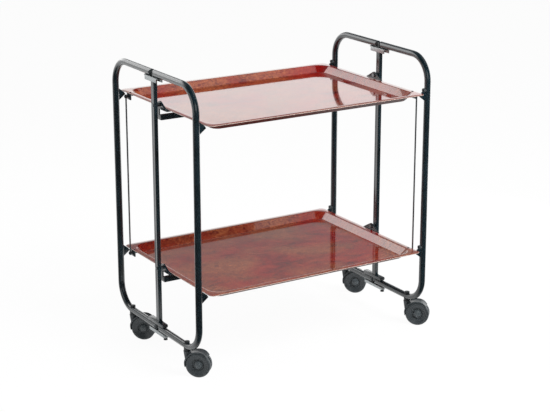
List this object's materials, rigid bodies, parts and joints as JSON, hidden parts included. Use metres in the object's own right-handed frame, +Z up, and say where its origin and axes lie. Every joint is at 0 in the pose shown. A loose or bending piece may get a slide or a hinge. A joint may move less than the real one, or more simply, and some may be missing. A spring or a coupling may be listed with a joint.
{
  "type": "folding serving cart",
  "caption": "Two-level folding serving cart with gloss trays tilting between book-hinged black tube end frames on swivel casters.",
  "frame": {"origin": "on the floor, midway between the four outer posts", "axes": "+X along the trays to the right, +Y to the back, +Z up"},
  "size_m": [0.7026, 0.442, 0.71],
  "materials": {
    "black_lacquer": "semi-gloss black lacquer with a cool green-blue tone on steel tube",
    "zinc_plate": "satin zinc-plated sheet",
    "steel": "drawn steel wire and turned pins",
    "mahogany_gloss": "high-gloss red-brown mottled laminate",
    "black_plastic": "moulded black plastic",
    "wheel_plastic": "moulded dark grey plastic",
    "grey_rubber": "dark grey moulded rubber"
  },
  "bodies": {
    "core": {"centre_post_left": "black_lacquer", "centre_post_right": "black_lacquer", "top_plate_left": "zinc_plate", "top_plate_right": "zinc_plate", "foot_channel_left": "black_lacquer", "foot_channel_right": "black_lacquer", "foot_plugs_left": "black_plastic", "foot_plugs_right": "black_plastic", "hinge_pins": "steel", "tray_pivot_bolts": "steel"},
    "upper_tray_unit": {"upper_tray": "mahogany_gloss", "upper_carrier": "black_lacquer", "upper_rod_tabs": "black_lacquer", "upper_tray_rivets": "steel"},
    "lower_tray_unit": {"lower_tray": "mahogany_gloss", "lower_carrier": "black_lacquer", "lower_rod_tabs": "black_lacquer", "lower_tray_rivets": "steel"},
    "rod_back_left": {"coupling_rod_back_left": "steel"},
    "rod_front_right": {"coupling_rod_front_right": "steel"},
    "half_front_left": {"frame_half_front_left": "black_lacquer", "rail_plugs_front_left": "black_plastic", "catches_front_left": "black_lacquer", "caster_socket_front_left": "black_plastic"},
    "caster_front_left": {"caster_hood_front_left": "black_plastic", "caster_stem_front_left": "steel"},
    "wheel_front_left": {"caster_wheel_front_left": "wheel_plastic", "hub_caps_front_left": "wheel_plastic"},
    "half_back_left": {"frame_half_back_left": "black_lacquer", "rail_plugs_back_left": "black_plastic", "catches_back_left": "black_lacquer", "caster_socket_back_left": "black_plastic"},
    "caster_back_left": {"caster_hood_back_left": "black_plastic", "caster_stem_back_left": "steel"},
    "wheel_back_left": {"caster_wheel_back_left": "wheel_plastic", "hub_caps_back_left": "wheel_plastic"},
    "half_front_right": {"frame_half_front_right": "black_lacquer", "rail_plugs_front_right": "black_plastic", "catches_front_right": "black_lacquer", "caster_socket_front_right": "black_plastic", "buffers_front_right": "grey_rubber"},
    "caster_front_right": {"caster_hood_front_right": "black_plastic", "caster_stem_front_right": "steel"},
    "wheel_front_right": {"caster_wheel_front_right": "wheel_plastic", "hub_caps_front_right": "wheel_plastic"},
    "half_back_right": {"frame_half_back_right": "black_lacquer", "rail_plugs_back_right": "black_plastic", "catches_back_right": "black_lacquer", "caster_socket_back_right": "black_plastic", "buffers_back_right": "grey_rubber"},
    "caster_back_right": {"caster_hood_back_right": "black_plastic", "caster_stem_back_right": "steel"},
    "wheel_back_right": {"caster_wheel_back_right": "wheel_plastic", "hub_caps_back_right": "wheel_plastic"},
    "latch_left": {"latch_lever_left": "zinc_plate", "latch_peg_left": "black_plastic"},
    "latch_right": {"latch_lever_right": "zinc_plate", "latch_peg_right": "black_plastic"}
  },
  "joints": [
    {"name": "fold", "type": "hinge", "parent": "core", "child": "upper_tray_unit", "pos_m": [0, 0, 0.625], "axis": [1, 0, 0], "range_deg": [0, 76]},
    {"name": "lower_tray_tilt", "type": "hinge", "parent": "core", "child": "lower_tray_unit", "pos_m": [0, 0, 0.225], "axis": [1, 0, 0], "range_deg": [0, 76]},
    {"name": "rod_pivot_back_left", "type": "hinge", "parent": "upper_tray_unit", "child": "rod_back_left", "pos_m": [-0.303, 0.18, 0.608], "axis": [1, 0, 0], "range_deg": [-76, 0]},
    {"name": "rod_pivot_front_right", "type": "hinge", "parent": "upper_tray_unit", "child": "rod_front_right", "pos_m": [0.303, -0.18, 0.608], "axis": [1, 0, 0], "range_deg": [-76, 0]},
    {"name": "swing_front_left", "type": "hinge", "parent": "core", "child": "half_front_left", "pos_m": [-0.32, -0.013, 0.4], "axis": [0, 0, -1], "range_deg": [0, 60]},
    {"name": "swivel_front_left", "type": "hinge", "parent": "half_front_left", "child": "caster_front_left", "pos_m": [-0.32, -0.14, 0.06], "axis": [0, 0, 1], "continuous": true},
    {"name": "roll_front_left", "type": "hinge", "parent": "caster_front_left", "child": "wheel_front_left", "pos_m": [-0.29969, -0.15927, 0.03], "axis": [0.6884, 0.7254, 0], "continuous": true},
    {"name": "swing_back_left", "type": "hinge", "parent": "core", "child": "half_back_left", "pos_m": [-0.32, 0.013, 0.4], "axis": [0, 0, 1], "range_deg": [0, 60]},
    {"name": "swivel_back_left", "type": "hinge", "parent": "half_back_left", "child": "caster_back_left", "pos_m": [-0.32, 0.14, 0.06], "axis": [0, 0, 1], "continuous": true},
    {"name": "roll_back_left", "type": "hinge", "parent": "caster_back_left", "child": "wheel_back_left", "pos_m": [-0.29969, 0.12073, 0.03], "axis": [0.6884, 0.7254, 0], "continuous": true},
    {"name": "swing_front_right", "type": "hinge", "parent": "core", "child": "half_front_right", "pos_m": [0.32, -0.013, 0.4], "axis": [0, 0, 1], "range_deg": [0, 60]},
    {"name": "swivel_front_right", "type": "hinge", "parent": "half_front_right", "child": "caster_front_right", "pos_m": [0.32, -0.14, 0.06], "axis": [0, 0, 1], "continuous": true},
    {"name": "roll_front_right", "type": "hinge", "parent": "caster_front_right", "child": "wheel_front_right", "pos_m": [0.34031, -0.15927, 0.03], "axis": [0.6884, 0.7254, 0], "continuous": true},
    {"name": "swing_back_right", "type": "hinge", "parent": "core", "child": "half_back_right", "pos_m": [0.32, 0.013, 0.4], "axis": [0, 0, -1], "range_deg": [0, 60]},
    {"name": "swivel_back_right", "type": "hinge", "parent": "half_back_right", "child": "caster_back_right", "pos_m": [0.32, 0.14, 0.06], "axis": [0, 0, 1], "continuous": true},
    {"name": "roll_back_right", "type": "hinge", "parent": "caster_back_right", "child": "wheel_back_right", "pos_m": [0.34031, 0.12073, 0.03], "axis": [0.6884, 0.7254, 0], "continuous": true},
    {"name": "latch_left", "type": "hinge", "parent": "core", "child": "latch_left", "pos_m": [-0.32, 0.013, 0.0645], "axis": [0, 0, -1], "range_deg": [0, 40]},
    {"name": "latch_right", "type": "hinge", "parent": "core", "child": "latch_right", "pos_m": [0.32, 0.013, 0.0645], "axis": [0, 0, 1], "range_deg": [0, 40]}
  ],
  "couplings": [
    {"joint": "lower_tray_tilt", "follows": "fold", "ratio": 1},
    {"joint": "rod_pivot_back_left", "follows": "fold", "ratio": -1},
    {"joint": "rod_pivot_front_right", "follows": "fold", "ratio": -1},
    {"joint": "swing_front_left", "follows": "fold", "ratio": 0.78947},
    {"joint": "swing_back_left", "follows": "fold", "ratio": 0.78947},
    {"joint": "swing_front_right", "follows": "fold", "ratio": 0.78947},
    {"joint": "swing_back_right", "follows": "fold", "ratio": 0.78947}
  ]
}
